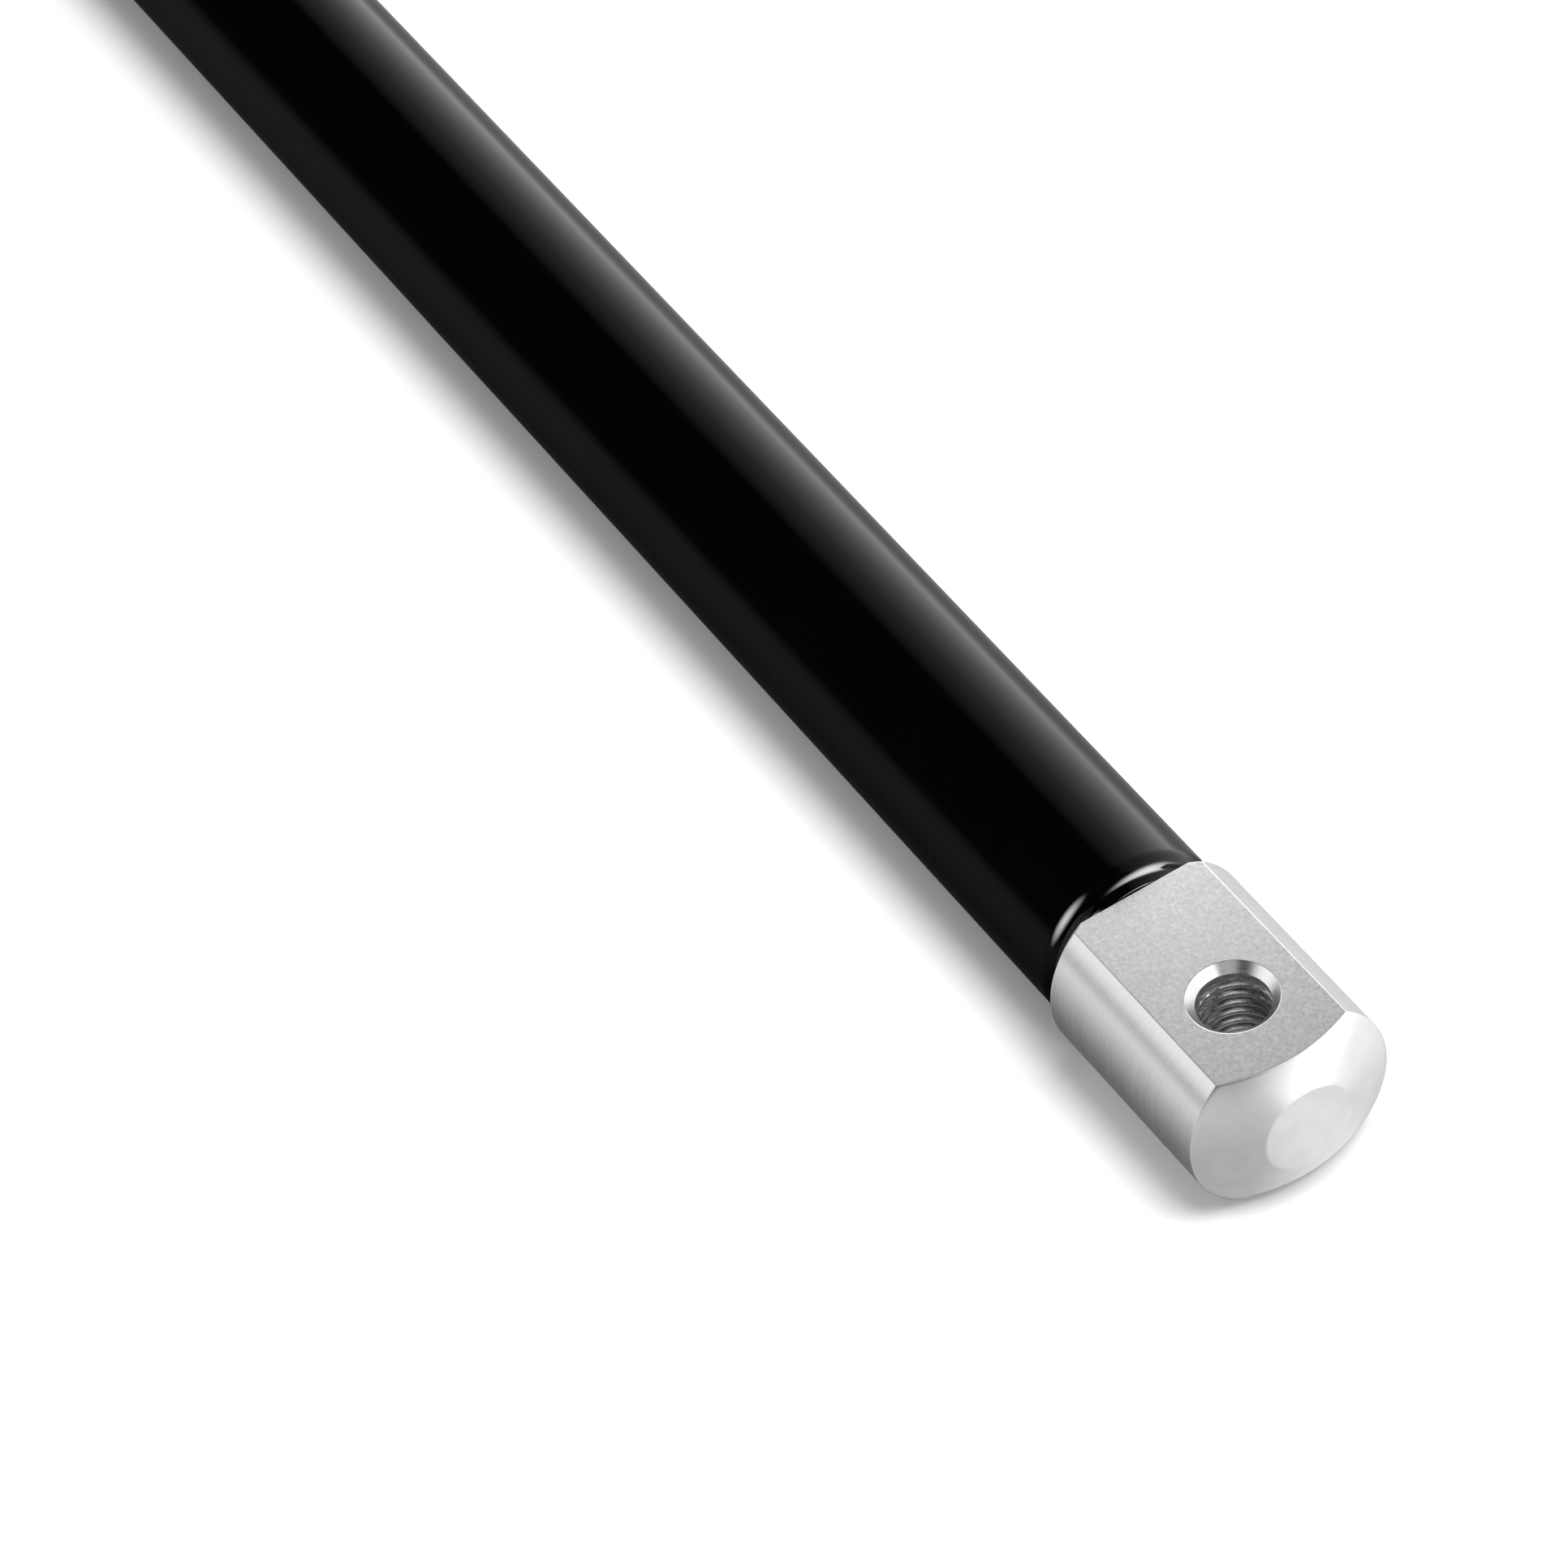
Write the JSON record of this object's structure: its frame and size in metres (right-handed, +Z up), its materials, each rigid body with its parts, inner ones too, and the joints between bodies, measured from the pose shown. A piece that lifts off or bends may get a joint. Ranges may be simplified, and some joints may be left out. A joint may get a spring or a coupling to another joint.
{
  "type": "ladder stabilizer bar",
  "caption": "Straight gloss black tube with a machined aluminium head in each end; each head has milled flats, a tapped cross hole and a domed nose.",
  "frame": {"origin": "middle of the bar, on the surface that the tube lies on", "axes": "+X along the bar towards the front head, +Z up along the tapped cross holes and square to the flats"},
  "size_m": [0.5, 0.031, 0.028],
  "materials": {
    "black_coat": "smooth gloss black coating on a steel tube",
    "machined_aluminium": "turned and milled, satin, with fine tool marks",
    "seal_rubber": "matt black rubber"
  },
  "bodies": {
    "root": {"bar_tube": "black_coat", "front_head": "machined_aluminium", "rear_head": "machined_aluminium", "front_seal": "seal_rubber", "rear_seal": "seal_rubber"}
  },
  "joints": []
}
